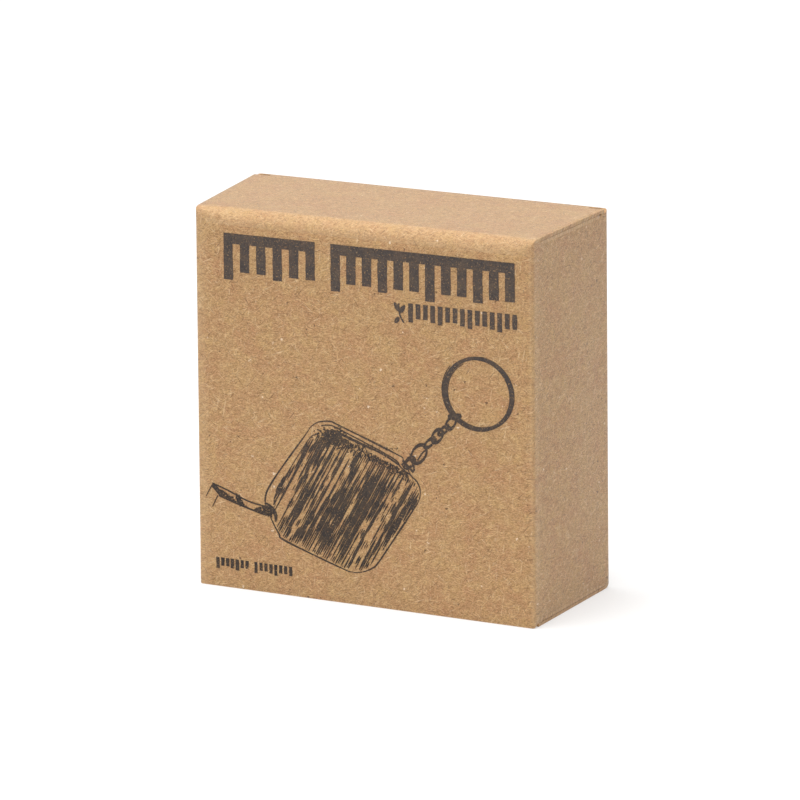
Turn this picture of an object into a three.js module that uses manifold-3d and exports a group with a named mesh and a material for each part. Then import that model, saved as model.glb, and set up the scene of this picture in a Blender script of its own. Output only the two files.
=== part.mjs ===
// A keyring tape measure in its closed retail carton.
// The carton is one folded board: a glued tube with a tuck closure at each end. It holds a square
// bamboo tape measure with a spring-wound steel blade, a short chain and a split ring.
// Millimetres, +Z up. Origin: middle of the carton's base. The printed front panel faces -Y.
import * as THREE from "three";
import { mergeVertices } from "three/addons/utils/BufferGeometryUtils.js";
import Module from "manifold-3d";

// ---------------------------------------------------------------- driving dimensions
const GAP = 0.3; // left between pieces that touch
const CARTON = { width: 68, depth: 30, height: 70, board: 0.6, side_fold: 2 };
const LID = { fold: 2.8, side_inset: 0.2, rear_inset: 0.5, corner_cut: 1.8 };
const TUCK = { length: 10, fold: 1, lean: 16, side_inset: 3, corner: 5 };
const DUST = { width: 12, fold: 0.9, front: 3, rear: 26.5, taper: 11.5, rear_cut: 2.5 };
const GLUE_FLAP = { width: 12, end_inset: 4 };

const CASE = { side: 40, thickness: 16, corner: 10, edge: 2.5, x: 5.5, y: 0.7, z: 2.3 };
const CAVITY = { radius: 17.3, half_depth: 6 };
const MOUTH = { z: 7.8, height: 2.6, width: 7.8, plate: 0.6, frame: 1.1, recess: 1.3 };
const CAPSULE = { radius: 17, wall: 1, half_depth: 5.7, cover: 0.8 };
const POST = { radius: 1.5, front: -4.5, rear: 5.5 };
const DRUM = { hub: 9, hub_wall: 0.8, flange: 14, flange_thickness: 0.8, half_width: 3.4 };
const SPRING = { inner: 2.4, outer: 7.7, turns: 5, strip: 0.35, half_width: 2.8 };
const COIL = { inner: 9.3, outer: 11.6, half_width: 3 };
const BLADE = { width: 6, thickness: 0.25, rear: 9 };
const HOOK = { sheet: 0.4, width: 7, tab: 4, drop: 4.2 };
const RIVET = { radius: 0.6, spacing: 3.4, set_back: 2.2, height: 1.3 };
const EYE = { ring: 2.2, wire: 0.6, stand_off: 4.8, shank: 5 };
const LINK = { length: 6.2, width: 4.4, wire: 0.55, count: 5, first_lift: 25 };
const LINK_ROLLS = [0, 84, -8, 82, 0]; // degrees about the chain's own line
const JUMP = { ring: 2.9, wire: 0.5 };
const RING = { radius: 11.2, wire: 0.6, pitch: 1.4, turns: 1.94, droop: 20 };

const rad = THREE.MathUtils.degToRad;

// ---------------------------------------------------------------- materials
const material = (color, roughness, metalness = 0) =>
  new THREE.MeshStandardMaterial({ color, roughness, metalness });
const KRAFT = material(0xbd966c, 0.9);
const BAMBOO = material(0xd9b37c, 0.55);
const BLACK_PLASTIC = material(0x1d1d1f, 0.6);
const WHITE_PLASTIC = material(0xd8d8d2, 0.5);
const STEEL = material(0xb9bbbd, 0.3, 1);
const SPRING_STEEL = material(0x6d7075, 0.35, 1);
const YELLOW_ENAMEL = material(0xe8c22e, 0.4);

// ---------------------------------------------------------------- booleans
const wasm = await Module();
wasm.setup();

function solidOf(geometry) {
  const bare = geometry.index ? geometry.toNonIndexed() : geometry.clone();
  bare.deleteAttribute("normal");
  bare.deleteAttribute("uv");
  const merged = mergeVertices(bare, 1e-4);
  return new wasm.Manifold(
    new wasm.Mesh({
      numProp: 3,
      vertProperties: merged.attributes.position.array,
      triVerts: new Uint32Array(merged.index.array),
    }),
  );
}

function geometryOf(solid) {
  const { numProp, numVert, vertProperties, triVerts } = solid.getMesh();
  const positions = new Float32Array(numVert * 3);
  for (let i = 0; i < numVert; i++) {
    positions.set(vertProperties.subarray(i * numProp, i * numProp + 3), i * 3);
  }
  const geometry = new THREE.BufferGeometry();
  geometry.setAttribute("position", new THREE.BufferAttribute(positions, 3));
  geometry.setIndex(new THREE.BufferAttribute(triVerts, 1));
  geometry.computeVertexNormals();
  return geometry;
}

const join = (first, ...rest) =>
  geometryOf(rest.reduce((whole, g) => whole.add(solidOf(g)), solidOf(first)));
const cut = (first, ...rest) =>
  geometryOf(rest.reduce((whole, g) => whole.subtract(solidOf(g)), solidOf(first)));
const overlap = (first, second) => geometryOf(solidOf(first).intersect(solidOf(second)));

// ---------------------------------------------------------------- shapes
function mesh(name, geometry, look) {
  const made = new THREE.Mesh(geometry, look);
  made.name = name;
  return made;
}

// A box between two corners.
function block([x0, y0, z0], [x1, y1, z1]) {
  const box = new THREE.BoxGeometry(x1 - x0, y1 - y0, z1 - z0);
  return box.translate((x0 + x1) / 2, (y0 + y1) / 2, (z0 + z1) / 2);
}

// A flat outline in x and y, made thick from z0 to z1.
function slab(outline, z0, z1, curveSegments = 8) {
  const options = { depth: z1 - z0, bevelEnabled: false, curveSegments };
  return new THREE.ExtrudeGeometry(outline, options).translate(0, 0, z0);
}

// A closed profile of (radius, y) points turned about the Y axis.
function turned(profile, segments = 48) {
  const points = profile.map(([r, y]) => new THREE.Vector2(r, y));
  if (THREE.ShapeUtils.isClockWise(points)) points.reverse();
  return new THREE.LatheGeometry([...points, points[0]], segments);
}

// A round bar along Y from y0 to y1.
function pin(radius, y0, y1, segments = 24) {
  const bar = new THREE.CylinderGeometry(radius, radius, y1 - y0, segments);
  return bar.translate(0, (y0 + y1) / 2, 0);
}

function polygon(points) {
  return new THREE.Shape(points.map(([x, y]) => new THREE.Vector2(x, y)));
}

function roundedRectangle(width, height, radius) {
  const [x, y] = [width / 2 - radius, height / 2 - radius];
  const outline = new THREE.Shape();
  outline.absarc(x, y, radius, 0, Math.PI / 2);
  outline.absarc(-x, y, radius, Math.PI / 2, Math.PI);
  outline.absarc(-x, -y, radius, Math.PI, 1.5 * Math.PI);
  outline.absarc(x, -y, radius, 1.5 * Math.PI, 2 * Math.PI);
  return outline;
}

// ---------------------------------------------------------------- carton
// A board flap that starts in a rounded crease. The crease runs along x, about the piece's own
// origin, and turns through bend degrees. The flap then leaves along y, outer face up.
// plan is its cut outline in x and y, with y = 0 where the crease's outer face is furthest back.
function creasedFlap(plan, length, fold, bend = 90) {
  const inner = fold - CARTON.board;
  const start = rad(90 + bend);
  const profile = new THREE.Shape();
  profile.absarc(0, 0, fold, start, Math.PI / 2, true);
  profile.lineTo(length - fold, fold);
  profile.lineTo(length - fold, inner);
  profile.absarc(0, 0, inner, Math.PI / 2, start, false);
  const [x, y, z] = [0, 1, 2].map((axis) => new THREE.Vector3().setComponent(axis, 1));
  const long = slab(profile, -CARTON.width, CARTON.width, 6);
  long.applyMatrix4(new THREE.Matrix4().makeBasis(y, z, x));
  return overlap(long, slab(plan, -2 * fold, 2 * fold).translate(0, -fold, 0));
}

function lidPlan(length) {
  const x = CARTON.width / 2 - LID.side_inset;
  const c = LID.corner_cut;
  return polygon([
    [c - x, -1], [x - c, -1], [x - c, 0], [x, c], [x, length], [-x, length], [-x, c], [c - x, 0],
  ]);
}

function tuckPlan() {
  const x = CARTON.width / 2 - TUCK.side_inset;
  const inner = x - TUCK.corner;
  const y = TUCK.length - TUCK.corner;
  const plan = new THREE.Shape();
  plan.moveTo(-x, -1);
  plan.lineTo(x, -1);
  plan.absarc(inner, y, TUCK.corner, 0, Math.PI / 2);
  plan.absarc(-inner, y, TUCK.corner, Math.PI / 2, Math.PI);
  return plan;
}

// front is +1 where the carton's front is towards the flap's own +x, and -1 where it is towards -x.
function dustPlan(front) {
  const near = CARTON.depth / 2 - DUST.front;
  const far = CARTON.depth / 2 - DUST.rear;
  const points = [
    [near, -1], [near, DUST.fold], [near - DUST.taper, DUST.width],
    [far + DUST.rear_cut, DUST.width], [far, DUST.width - DUST.rear_cut], [far, -1],
  ];
  const plan = points.map(([x, y]) => [front * x, y]);
  return polygon(front > 0 ? plan : plan.reverse());
}

// One tuck closure, with its outer face at z = 0: the lid leaves the wall at -Y, tucks in at +Y.
function closure(names) {
  const group = new THREE.Group();
  const half = { x: CARTON.width / 2, y: CARTON.depth / 2 };
  const rear = half.y - CARTON.board - LID.rear_inset;
  const length = rear + half.y - TUCK.fold - GAP;

  const lid = mesh(names.lid, creasedFlap(lidPlan(length), length, LID.fold), KRAFT);
  lid.position.set(0, LID.fold - half.y, -LID.fold);

  const bend = 90 + TUCK.lean;
  const tuck = mesh(names.tuck, creasedFlap(tuckPlan(), TUCK.length, TUCK.fold, bend), KRAFT);
  tuck.position.set(0, rear - TUCK.fold, -TUCK.fold);
  tuck.rotation.x = -rad(bend);

  for (const [name, side] of [[names.right, 1], [names.left, -1]]) {
    const flap = mesh(name, creasedFlap(dustPlan(-side), DUST.width, DUST.fold), KRAFT);
    flap.position.set(side * (half.x - DUST.fold), 0, -CARTON.board - GAP - DUST.fold);
    flap.rotation.z = (side * Math.PI) / 2;
    group.add(flap);
  }
  group.add(lid, tuck);
  return group;
}

// The front or back wall, with the quarter-round vertical folds at both its ends.
function foldedWall(name, z0, z1) {
  const { width, board, side_fold: fold } = CARTON;
  const x = width / 2 - fold;
  const section = new THREE.Shape();
  section.absarc(-x, fold, fold, Math.PI, 1.5 * Math.PI);
  section.absarc(x, fold, fold, 1.5 * Math.PI, 2 * Math.PI);
  section.absarc(x, fold, fold - board, 2 * Math.PI, 1.5 * Math.PI, true);
  section.absarc(-x, fold, fold - board, 1.5 * Math.PI, Math.PI, true);
  return mesh(name, slab(section, z0, z1, 5), KRAFT);
}

function carton() {
  const { width, depth, height, board, side_fold } = CARTON;
  const group = new THREE.Group();

  const front = foldedWall("front_panel", 0, height - LID.fold - GAP);
  front.position.y = -depth / 2;
  const back = foldedWall("back_panel", LID.fold + GAP, height);
  back.position.y = depth / 2;
  back.rotation.z = Math.PI;
  group.add(front, back);

  const y = depth / 2 - side_fold - GAP;
  const z = board + GAP + DUST.fold + GAP;
  const wall = block([width / 2 - board, -y, z], [width / 2, y, height - z]);
  group.add(mesh("right_panel", wall, KRAFT));
  const left = mesh("left_panel", wall.clone(), KRAFT);
  left.rotation.z = Math.PI;
  group.add(left);

  const inside = -width / 2 + board + GAP;
  const glued = block(
    [inside, y - GLUE_FLAP.width, GLUE_FLAP.end_inset],
    [inside + board, y, height - GLUE_FLAP.end_inset],
  );
  group.add(mesh("glue_flap", glued, KRAFT));

  const top = closure({
    lid: "top_lid", tuck: "top_tuck_flap", left: "top_dust_flap_left", right: "top_dust_flap_right",
  });
  top.position.z = height;
  const base = closure({
    lid: "base_lid", tuck: "base_tuck_flap", left: "base_dust_flap_left", right: "base_dust_flap_right",
  });
  base.rotation.x = Math.PI;
  group.add(top, base);
  return group;
}

// ---------------------------------------------------------------- tape measure case
// The case's own frame: x and y from its middle, z up from its foot. The mouth is at -X.
const CENTRE = CASE.side / 2;
const PLATE_FACE = MOUTH.recess - GAP - MOUTH.plate - CENTRE;

function caseBlank() {
  const { side, thickness, corner, edge } = CASE;
  const outline = roundedRectangle(side - 2 * edge, side - 2 * edge, corner - edge);
  const blank = new THREE.ExtrudeGeometry(outline, {
    depth: thickness - 2 * edge,
    bevelThickness: edge,
    bevelSize: edge,
    bevelSegments: 3,
    curveSegments: 6,
  });
  blank.translate(0, 0, edge - thickness / 2);
  return blank.rotateX(Math.PI / 2).translate(0, 0, CENTRE);
}

function eyeCentre() {
  const reach = CASE.corner * Math.SQRT1_2 + EYE.stand_off * Math.SQRT1_2;
  const arc = CASE.side / 2 - CASE.corner;
  return new THREE.Vector3(arc + reach, 0, CENTRE + arc + reach);
}

// A bar along the case's 45-degree corner line, from the eye inwards.
function cornerBar(radius, from, to) {
  const bar = new THREE.CylinderGeometry(radius, radius, to - from, 12);
  bar.translate(0, -(from + to) / 2, 0).rotateY(Math.PI / 12).rotateX(Math.PI / 2);
  const { x, z } = eyeCentre();
  return bar.rotateY(Math.PI / 4).translate(x, 0, z);
}

function caseHalves() {
  const { side, thickness } = CASE;
  const cavity = pin(CAVITY.radius, -CAVITY.half_depth, CAVITY.half_depth, 48).translate(0, 0, CENTRE);
  const slot = block(
    [-side, -MOUTH.width / 2, MOUTH.z - MOUTH.height / 2],
    [-side / 4, MOUTH.width / 2, MOUTH.z + MOUTH.height / 2],
  );
  const rim = MOUTH.frame + GAP;
  const seat = block(
    [-side, -MOUTH.width / 2 - rim, MOUTH.z - MOUTH.height / 2 - rim],
    [MOUTH.recess - side / 2, MOUTH.width / 2 + rim, MOUTH.z + MOUTH.height / 2 + rim],
  );
  const hole = cornerBar(EYE.wire + GAP, EYE.ring - 1, EYE.stand_off + EYE.shank + GAP);
  const whole = cut(caseBlank(), cavity, slot, seat, hole);
  const half = (y0, y1) => overlap(whole, block([-side, y0, -side], [side, y1, 2 * side]));
  return [
    mesh("case_front", half(-thickness, -GAP / 2), BAMBOO),
    mesh("case_back", half(GAP / 2, thickness), BAMBOO),
  ];
}

function mouthPlate() {
  const [y, z] = [MOUTH.width / 2 + MOUTH.frame, MOUTH.height / 2 + MOUTH.frame];
  const plate = block(
    [PLATE_FACE, -y, MOUTH.z - z],
    [PLATE_FACE + MOUTH.plate, y, MOUTH.z + z],
  );
  const slot = block(
    [-CASE.side, -MOUTH.width / 2, MOUTH.z - MOUTH.height / 2],
    [0, MOUTH.width / 2, MOUTH.z + MOUTH.height / 2],
  );
  return mesh("mouth_plate", cut(plate, slot), STEEL);
}

// ---------------------------------------------------------------- winding mechanism
function capsule() {
  const { radius, wall, half_depth, cover } = CAPSULE;
  const front = cover + GAP - half_depth;
  const cup = turned([
    [POST.radius + GAP, half_depth], [radius, half_depth], [radius, front],
    [radius - wall, front], [radius - wall, half_depth - wall], [POST.radius + GAP, half_depth - wall],
  ]).translate(0, 0, CENTRE);
  const slot = block(
    [-CASE.side, -MOUTH.width / 2, MOUTH.z - MOUTH.height / 2],
    [-5, MOUTH.width / 2, MOUTH.z + MOUTH.height / 2],
  );
  const disc = pin(radius, -half_depth, cover - half_depth, 48).translate(0, 0, CENTRE);
  const post = pin(POST.radius, POST.front, POST.rear).translate(0, 0, CENTRE);
  return [
    mesh("capsule_cup", cut(cup, slot), BLACK_PLASTIC),
    mesh("capsule_cover", disc, BLACK_PLASTIC),
    mesh("winding_post", post, STEEL),
  ];
}

// The drum turns on the post: a hub cup that holds the spring, and a flange on each side.
function drum() {
  const { hub, hub_wall, flange, flange_thickness: t, half_width: w } = DRUM;
  const bore = POST.radius + GAP;
  const body = turned([
    [bore, w], [hub - hub_wall, w], [hub - hub_wall, -w], [hub, -w],
    [hub, w], [flange, w], [flange, w + t], [bore, w + t],
  ]);
  const face = -w - GAP;
  const cover = turned([[bore, face - t / 2], [flange, face - t / 2], [flange, face], [bore, face]]);
  const made = [mesh("tape_drum", body, WHITE_PLASTIC), mesh("drum_flange", cover, WHITE_PLASTIC)];
  made.forEach((piece) => piece.position.setZ(CENTRE));
  return made;
}

// A flat strip wound into a spiral between the post and the hub.
function powerSpring() {
  const { inner, outer, turns, strip, half_width } = SPRING;
  const steps = turns * 20;
  const edge = (offset) => (_, i) => {
    const angle = (i / steps) * turns * 2 * Math.PI;
    const radius = inner + (outer - inner) * (i / steps) + offset;
    return [radius * Math.cos(angle), radius * Math.sin(angle)];
  };
  const inside = Array.from({ length: steps + 1 }, edge(-strip / 2));
  const outside = Array.from({ length: steps + 1 }, edge(strip / 2));
  const strip_outline = polygon([...outside, ...inside.reverse()]);
  const spiral = slab(strip_outline, -half_width, half_width).rotateX(Math.PI / 2);
  return mesh("power_spring", spiral.translate(0, 0, CENTRE), SPRING_STEEL);
}

function tapeCoil() {
  const { inner, outer, half_width: w } = COIL;
  const ring = turned([[inner, -w], [outer, -w], [outer, w], [inner, w]]);
  return mesh("tape_coil", ring.translate(0, 0, CENTRE), YELLOW_ENAMEL);
}

// ---------------------------------------------------------------- blade and hook
function bladeAndHook() {
  const { width, thickness, rear } = BLADE;
  const tip = PLATE_FACE - GAP;
  const top = CENTRE - COIL.outer - GAP - 0.2;
  const tab = top + GAP;
  const rivets = [-1, 1].map((side) => {
    const post = new THREE.CylinderGeometry(RIVET.radius, RIVET.radius, RIVET.height, 12);
    post.rotateX(Math.PI / 2);
    return post.translate(tip + RIVET.set_back, (side * RIVET.spacing) / 2, top + GAP / 2);
  });
  const holes = [-1, 1].map((side) => {
    const hole = new THREE.CylinderGeometry(RIVET.radius + GAP, RIVET.radius + GAP, 4, 12);
    return hole.rotateX(Math.PI / 2).translate(tip + RIVET.set_back, (side * RIVET.spacing) / 2, top);
  });
  const blade = block([tip + GAP, -width / 2, top - thickness], [rear, width / 2, top]);
  const flat = block(
    [tip - HOOK.sheet, -HOOK.width / 2, tab],
    [tip + HOOK.tab, HOOK.width / 2, tab + HOOK.sheet],
  );
  const lip = block(
    [tip - HOOK.sheet, -HOOK.width / 2, top - HOOK.drop],
    [tip, HOOK.width / 2, tab + HOOK.sheet],
  );
  return [
    mesh("tape_blade", cut(blade, ...holes), YELLOW_ENAMEL),
    mesh("end_hook", cut(join(flat, lip), ...holes), STEEL),
    mesh("hook_rivet_front", rivets[0], STEEL),
    mesh("hook_rivet_back", rivets[1], STEEL),
  ];
}

// ---------------------------------------------------------------- chain and rings
function eyelet() {
  const { x, z } = eyeCentre();
  const ring = new THREE.TorusGeometry(EYE.ring, EYE.wire, 8, 20).rotateX(Math.PI / 2).translate(x, 0, z);
  return mesh("chain_eyelet", join(ring, cornerBar(EYE.wire, EYE.ring, EYE.stand_off + EYE.shank)), STEEL);
}

// The closed centreline of one chain link: two straights and two half rounds, long along x.
class LinkLine extends THREE.Curve {
  getPoint(t, target = new THREE.Vector3()) {
    const r = LINK.width / 2 - LINK.wire;
    const straight = LINK.length - LINK.width;
    const total = 2 * straight + 2 * Math.PI * r;
    let s = (((t % 1) + 1) % 1) * total;
    const far = s >= total / 2;
    if (far) s -= total / 2;
    const sign = far ? -1 : 1;
    if (s < straight) return target.set(sign * (s - straight / 2), -sign * r, 0);
    const angle = (s - straight) / r - Math.PI / 2;
    return target.set(sign * (straight / 2 + r * Math.cos(angle)), sign * r * Math.sin(angle), 0);
  }
}

class SplitRingLine extends THREE.Curve {
  getPoint(t, target = new THREE.Vector3()) {
    const angle = Math.PI + (t - 0.5) * RING.turns * 2 * Math.PI;
    const { radius, pitch, turns } = RING;
    return target.set(radius * Math.cos(angle), radius * Math.sin(angle), (t - 0.5) * pitch * turns * 0.5);
  }
}

// A unit step along the chain, which runs towards -X and rises by the lift in degrees.
const along = (lift, distance) =>
  new THREE.Vector3(-Math.cos(rad(lift)), 0, Math.sin(rad(lift))).multiplyScalar(distance);

// Points on the chain's line: where its first link starts, the pivots, and the rings.
function chainLine() {
  const inner = LINK.length - 2 * LINK.wire;
  const start = EYE.ring - EYE.wire - LINK.wire - GAP;
  const crossing = LINK.wire + GAP / 2;
  const eye = eyeCentre();
  const lifts = Array.from({ length: LINK.count }, (_, i) => (i === 0 ? LINK.first_lift : 0));
  const pivots = [eye.clone().add(along(lifts[0], start + crossing))];
  const pitch = inner - 2 * crossing;
  lifts.forEach((lift, i) => pivots.push(pivots[i].clone().add(along(lift, pitch))));
  const centres = lifts.map((_, i) => pivots[i].clone().add(pivots[i + 1]).multiplyScalar(0.5));

  const bow = pivots[LINK.count].clone().add(along(0, crossing));
  const hang = JUMP.ring - JUMP.wire - LINK.wire - GAP;
  const rise = CASE.side + GAP + JUMP.ring + JUMP.wire - bow.z;
  const jump = new THREE.Vector3(bow.x - Math.sqrt(hang ** 2 - rise ** 2), 0, bow.z + rise);
  const held = jump.clone().add(new THREE.Vector3(-0.55, 0, -0.4));
  const ring = held.clone().add(along(-RING.droop, RING.radius));
  return { lifts, centres, jump, ring };
}

function chain() {
  const line = chainLine();
  const link = new THREE.TubeGeometry(new LinkLine(), 22, LINK.wire, 6, true);
  const pieces = line.centres.map((centre, i) => {
    const piece = mesh(`chain_link_${i + 1}`, link.clone(), STEEL);
    piece.position.copy(centre);
    piece.rotation.set(rad(LINK_ROLLS[i]), Math.PI + rad(line.lifts[i]), 0, "YXZ");
    return piece;
  });

  const jump = mesh("jump_ring", new THREE.TorusGeometry(JUMP.ring, JUMP.wire, 6, 22), STEEL);
  jump.position.copy(line.jump);
  jump.rotation.x = Math.PI / 2;

  const section = polygon(
    Array.from({ length: 8 }, (_, i) => {
      const angle = (i / 8) * 2 * Math.PI;
      return [RING.wire * Math.cos(angle), RING.wire * Math.sin(angle)];
    }),
  );
  const wire = new THREE.ExtrudeGeometry(section, { steps: 60, extrudePath: new SplitRingLine() });
  const ring = mesh("split_ring", wire, STEEL);
  ring.position.copy(line.ring);
  ring.rotation.y = -rad(RING.droop);
  return [...pieces, jump, ring];
}

function tapeMeasure() {
  const group = new THREE.Group();
  group.add(...caseHalves(), mouthPlate(), ...capsule(), ...drum(), powerSpring(), tapeCoil());
  group.add(...bladeAndHook(), eyelet(), ...chain());
  group.position.set(CASE.x, CASE.y, CASE.z);
  return group;
}

const boxedTapeMeasure = new THREE.Group();
boxedTapeMeasure.add(carton(), tapeMeasure());

export default boxedTapeMeasure;
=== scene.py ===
import itertools
import random
from math import atan2, copysign, cos, dist, exp, hypot, pi, radians, sin, sqrt, tanh, tau

import bmesh
import bpy
from mathutils import Matrix, Vector
from mathutils import noise as field


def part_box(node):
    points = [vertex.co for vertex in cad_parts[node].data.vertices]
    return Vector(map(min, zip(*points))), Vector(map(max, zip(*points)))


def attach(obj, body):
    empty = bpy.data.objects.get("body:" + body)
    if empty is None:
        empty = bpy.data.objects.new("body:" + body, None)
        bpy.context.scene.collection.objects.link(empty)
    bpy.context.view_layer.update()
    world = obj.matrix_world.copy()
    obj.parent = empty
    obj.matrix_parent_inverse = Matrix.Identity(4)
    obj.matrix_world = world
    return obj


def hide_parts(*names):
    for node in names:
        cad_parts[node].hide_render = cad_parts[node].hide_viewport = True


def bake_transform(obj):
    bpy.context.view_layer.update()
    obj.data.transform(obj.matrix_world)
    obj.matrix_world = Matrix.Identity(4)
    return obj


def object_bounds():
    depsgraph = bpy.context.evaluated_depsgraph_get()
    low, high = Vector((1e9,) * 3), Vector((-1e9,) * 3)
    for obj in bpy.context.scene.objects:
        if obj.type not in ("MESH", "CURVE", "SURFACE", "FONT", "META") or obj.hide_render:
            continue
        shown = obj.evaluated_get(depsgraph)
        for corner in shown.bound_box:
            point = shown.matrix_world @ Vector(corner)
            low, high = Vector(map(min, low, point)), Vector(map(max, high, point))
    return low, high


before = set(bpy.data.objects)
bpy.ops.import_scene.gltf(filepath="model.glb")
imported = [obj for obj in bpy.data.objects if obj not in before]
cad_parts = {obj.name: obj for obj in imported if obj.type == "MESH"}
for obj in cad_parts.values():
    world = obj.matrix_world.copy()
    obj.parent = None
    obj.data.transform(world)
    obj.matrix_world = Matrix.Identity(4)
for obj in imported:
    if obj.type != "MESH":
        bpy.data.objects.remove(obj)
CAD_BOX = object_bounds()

MM = 0.001
X, Y, Z = Vector((1, 0, 0)), Vector((0, 1, 0)), Vector((0, 0, 1))


# ---- sizes, from the CAD nodes

def box_mm(node):
    """Lowest and highest corner of a CAD node, in millimetres."""
    return [Vector(corner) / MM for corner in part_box(node)]


def middle_mm(node):
    """Middle and half size of a CAD node, in millimetres."""
    low, high = box_mm(node)
    return (low + high) / 2, (high - low) / 2


HALF_WIDTH, HALF_DEPTH, HEIGHT = Vector(CAD_BOX[1]) / MM
FLAP_BOX = box_mm("glue_flap")
BOARD = FLAP_BOX[1].x - FLAP_BOX[0].x
GAP = 0.05  # between boards that lie on each other
RIM, CUT_RIM = 0.035, 1e-4  # how round a board's edge is, and an edge that meets another one
LID_FOLD = HEIGHT - box_mm("top_lid")[0].z
LID_START = HEIGHT - LID_FOLD
SIDE_FOLD, CREASE, DUST_CREASE = 1.0, 0.85, 0.65  # radii: upright folds, tuck crease, dust creases
FLAT, SIDE_FLAT = HALF_WIDTH - SIDE_FOLD, HALF_DEPTH - SIDE_FOLD
WALL_TOP = HEIGHT - BOARD - 0.01
DUST_TOP = HEIGHT - BOARD - 0.02
REAR_DROP = 0.1  # the back panel's edge is this far below the lid's outer face
TUCK_START = HALF_DEPTH - 1.55
TUCK_TURN, TUCK_LENGTH, TUCK_ROUND = 106, 9.2, 5.0
TUCK_HALF = box_mm("top_tuck_flap")[1].x
DUST_BOX = box_mm("top_dust_flap_right")
DUST_REACH = HALF_WIDTH - DUST_BOX[0].x
FRONT_SWELL, SIDE_SWELL = 0.3, 0.2
RACK, LEAN = 3.9, 0.5
# powers for squared(): 1 is a round fold, and less is a sharper one
BASE_CORNER, TOP_CORNER = 0.42, 0.7
LID_END, LID_END_RUN = 0.5, 6.0
CREASE_POWER, DUST_POWER = 0.45, 0.16


def clamped(share):
    """A share, kept between 0 and 1."""
    return min(1.0, max(0.0, share))


def eased(share):
    """A share with a soft start and a soft end."""
    share = clamped(share)
    return share * share * (3 - 2 * share)


def round_off(radius, distance):
    """How far a rounded corner stands back, at a distance from the end that it rounds."""
    if distance >= radius:
        return 0.0
    return radius - sqrt(max(0.0, radius ** 2 - (radius - distance) ** 2))


def racked(point):
    """The carton stands a little out of square: its back left corner is pushed outwards, and its left
    side leans in towards the top."""
    x, y, z = point
    shift = LEAN * z / HEIGHT - RACK * (y + HALF_DEPTH) / (2 * HALF_DEPTH)
    return Vector((x + shift * (HALF_WIDTH - x) / (2 * HALF_WIDTH), y, z))


def swollen(x, y, z):
    """How far the panels belly outwards at a point of the sleeve: (x, y) added to it."""
    upright = max(0.0, 1 - ((z - LID_START / 2) / (LID_START / 2)) ** 2)
    if abs(x) < FLAT and y < -SIDE_FLAT:
        return 0.0, -FRONT_SWELL * (1 - (x / FLAT) ** 2) ** 2 * upright
    if abs(y) < SIDE_FLAT:
        return copysign(SIDE_SWELL * (1 - (y / SIDE_FLAT) ** 2) ** 2 * upright, x), 0.0
    return 0.0, 0.0


def squared(one, two, power):
    """A point of a round fold, given from the fold's centre, moved towards the square corner outside it.
    A power of 1 leaves it where it is."""
    if min(one, two) <= 1e-9:
        return one, two
    reach = hypot(one, two)
    return reach * (one / reach) ** power, reach * (two / reach) ** power


def cornered(x, y, z):
    """A point of the sleeve's plan; its upright folds are sharper at the base than at the top."""
    power = BASE_CORNER + (TOP_CORNER - BASE_CORNER) * z / HEIGHT
    one, two = squared(abs(x) - FLAT, abs(y) - SIDE_FLAT, power)
    if one > 0 and two > 0:
        x, y = copysign(FLAT + one, x), copysign(SIDE_FLAT + two, y)
    return x, y


def lid_folded(x, y, z):
    """A point of the lid: its front fold is soft in the middle and sharper at both ends."""
    power = 1 - (1 - LID_END) * eased((abs(x) - HALF_WIDTH + LID_END_RUN) / LID_END_RUN)
    back, up = squared(LID_FOLD - HALF_DEPTH - y, z - LID_START, power)
    return (x, LID_FOLD - HALF_DEPTH - back, LID_START + up) if back > 0 and up > 0 else (x, y, z)


# ---- meshes

def mesh_object(name, verts, faces, material, smooth_angle=35, uvs=None, marks=None):
    """A mesh object from millimetre points. uvs has a pair for each, and marks {name: a number for each}."""
    mesh = bpy.data.meshes.new(name)
    mesh.from_pydata([[c * MM for c in v] for v in verts], [], faces)
    mesh.validate()
    if uvs:
        layer = mesh.uv_layers.new(name="mm")
        for loop in mesh.loops:
            layer.data[loop.index].uv = uvs[loop.vertex_index]
    for mark, numbers in (marks or {}).items():
        mesh.attributes.new(mark, "FLOAT", "POINT").data.foreach_set("value", numbers)
    mesh.shade_smooth()
    mesh.set_sharp_from_angle(angle=radians(smooth_angle))
    mesh.materials.append(material)
    made = bpy.data.objects.new(name, mesh)
    bpy.context.scene.collection.objects.link(made)
    return made


def turned_out(made):
    """Turns every face of a closed mesh outwards."""
    work = bmesh.new()
    work.from_mesh(made.data)
    bmesh.ops.recalc_face_normals(work, faces=work.faces)
    work.to_mesh(made.data)
    work.free()
    return made


def trace(start, heading, segments):
    """Samples along a folded sheet's outer face, seen end on. Segments are ("line", length) and
    ("fold", radius, degrees); folds turn clockwise, and the outer face is on the left of the heading.
    Each sample is (a, b, out_a, out_b, length so far, 1 on a fold)."""
    a, b = start
    angle = radians(heading)
    travelled = 0.0
    samples = []
    for kind, *size in segments:
        if kind == "line":
            count = max(2, round(size[0] / 1.6))
            steps = [(size[0] / count, 0.0)] * count
        else:
            radius, degrees = size
            count = max(6, round(radius * radians(degrees) / 0.28))
            turn = radians(degrees) / count
            steps = [(2 * radius * sin(turn / 2), turn)] * count
        for length, turn in steps:
            folded = 1.0 if kind == "fold" else 0.0
            samples.append((a, b, -sin(angle), cos(angle), travelled, folded))
            angle -= turn / 2
            a += length * cos(angle)
            b += length * sin(angle)
            angle -= turn / 2
            travelled += length if not turn else size[0] * turn
    samples.append((a, b, -sin(angle), cos(angle), travelled, 0.0))
    return samples


def band(low, high):
    """The faces between two closed rings of equally many points."""
    return [(a, b, d, c) for a, b, c, d in zip(low, [*low[1:], low[0]], high, [*high[1:], high[0]])]


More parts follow.
